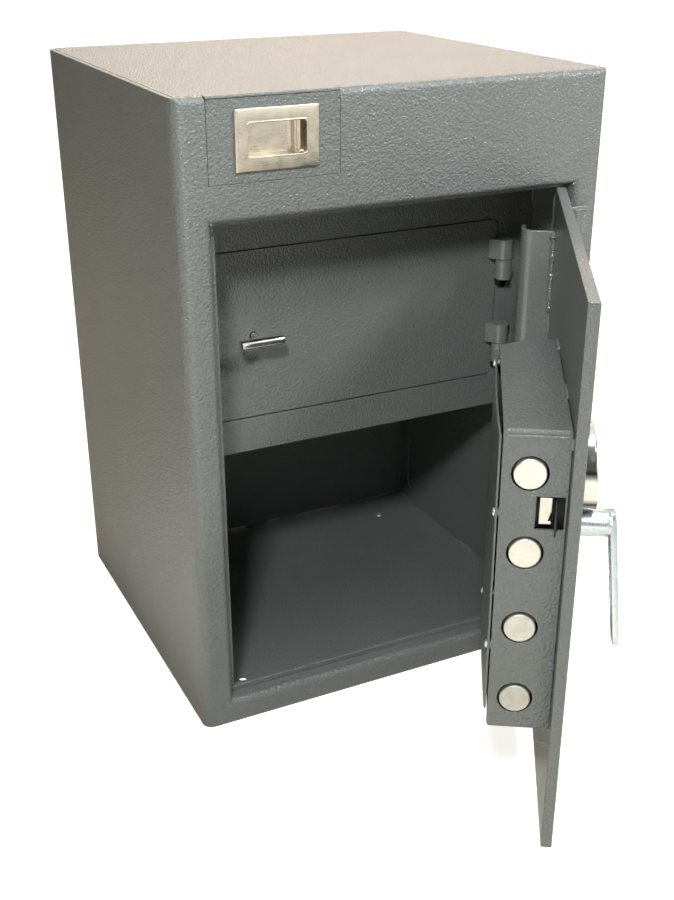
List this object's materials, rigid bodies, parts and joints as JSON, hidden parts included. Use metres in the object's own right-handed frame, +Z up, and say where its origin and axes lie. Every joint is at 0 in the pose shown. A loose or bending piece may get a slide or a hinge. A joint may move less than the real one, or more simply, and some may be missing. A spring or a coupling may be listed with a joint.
{
  "type": "drop safe with deposit drawer",
  "caption": "Floor-standing steel drop safe: sliding deposit drawer at the top, hinged main door with boltwork standing open, and a locking inner compartment inside.",
  "frame": {"origin": "centre of the body's footprint on the floor, z = 0 at the underside", "axes": "+Z up, the front with the drawer and the door faces -Y, the main hinge is on the +X side"},
  "size_m": [0.5, 0.8312, 0.71],
  "materials": {
    "grey_paint": "dark grey semi-gloss enamel with a fine orange-peel texture",
    "turned_steel": "turned and nickel plated, softly worn on the end faces",
    "screw_steel": "bright zinc plated",
    "plated_steel": "dull zinc plated sheet",
    "chrome": "polished chrome",
    "satin_silver": "satin silver plated casting",
    "brushed_stainless": "brushed stainless steel with a warm tint",
    "key_rubber": "matt black silicone keys",
    "black_plastic": "black"
  },
  "bodies": {
    "cabinet": {"front_frame": "grey_paint", "side_right": "grey_paint", "side_left": "grey_paint", "top_plate": "grey_paint", "bottom_plate": "grey_paint", "back_plate": "grey_paint", "stop_lip": "grey_paint", "wall_strip": "grey_paint", "main_hinge_body": "grey_paint", "main_hinge_pin": "turned_steel", "bulkhead": "grey_paint", "inner_stop": "grey_paint", "compartment_floor": "grey_paint", "compartment_back": "grey_paint", "compartment_roof": "grey_paint", "inner_hinge_base_1": "grey_paint", "inner_hinge_base_2": "grey_paint", "drawer_housing": "plated_steel", "runner_left": "plated_steel", "runner_right": "plated_steel", "flap_pin": "turned_steel"},
    "main_door": {"door_plate": "grey_paint", "main_hinge_leaf": "grey_paint", "hook_strip": "grey_paint", "bolt_box": "grey_paint", "box_cover": "grey_paint", "cover_post_1": "plated_steel", "cover_post_2": "plated_steel", "cover_post_3": "plated_steel", "cover_post_4": "plated_steel", "cover_screw_1": "screw_steel", "cover_screw_2": "screw_steel", "cover_screw_3": "screw_steel", "cover_screw_4": "screw_steel", "keypad_housing": "chrome", "battery_cover": "chrome", "key_mat": "key_rubber", "lock_case": "plated_steel", "lock_blade": "black_plastic"},
    "boltwork": {"bolt_1": "turned_steel", "bolt_2": "turned_steel", "bolt_3": "turned_steel", "bolt_4": "turned_steel", "bolt_carriage": "plated_steel"},
    "handle": {"door_handle": "satin_silver", "crank": "plated_steel"},
    "latch": {"lock_latch": "turned_steel"},
    "inner_door": {"inner_door": "grey_paint", "inner_hinge_half_1": "grey_paint", "inner_hinge_half_2": "grey_paint"},
    "inner_lock": {"inner_handle": "chrome", "inner_cam": "plated_steel"},
    "drawer": {"drawer_front": "grey_paint", "drawer_pull": "brushed_stainless", "drawer_tray": "plated_steel"},
    "flap": {"anti_fish_flap": "plated_steel"}
  },
  "joints": [
    {"name": "main_door_swing", "type": "hinge", "parent": "cabinet", "child": "main_door", "pos_m": [0.214, -0.242, 0.308], "axis": [0, 0, 1], "range_deg": [-58, 112]},
    {"name": "bolt_slide", "type": "slide", "parent": "main_door", "child": "boltwork", "axis": [-0.5299, -0.848, 0], "range_m": [0, 0.022]},
    {"name": "handle_turn", "type": "hinge", "parent": "main_door", "child": "handle", "pos_m": [0.03213, -0.51041, 0.338], "axis": [0.848, -0.5299, 0], "range_deg": [0, 90]},
    {"name": "latch_slide", "type": "slide", "parent": "main_door", "child": "latch", "axis": [-0.5299, -0.848, 0], "range_m": [0, 0.012]},
    {"name": "inner_door_swing", "type": "hinge", "parent": "cabinet", "child": "inner_door", "pos_m": [0.199, -0.1258, 0.426], "axis": [0, 0, 1], "range_deg": [0, 45]},
    {"name": "inner_handle_turn", "type": "hinge", "parent": "inner_door", "child": "inner_lock", "pos_m": [-0.1275, -0.115, 0.426], "axis": [0, 1, 0], "range_deg": [0, 90]},
    {"name": "drawer_slide", "type": "slide", "parent": "cabinet", "child": "drawer", "axis": [0, -1, 0], "range_m": [0, 0.13]},
    {"name": "flap_swing", "type": "hinge", "parent": "cabinet", "child": "flap", "pos_m": [0, -0.0287, 0.6962], "axis": [-1, 0, 0], "range_deg": [0, 75]}
  ],
  "couplings": [
    {"joint": "handle_turn", "follows": "bolt_slide", "rad_per_m": 71.39},
    {"joint": "flap_swing", "follows": "drawer_slide", "rad_per_m": 10.06}
  ]
}
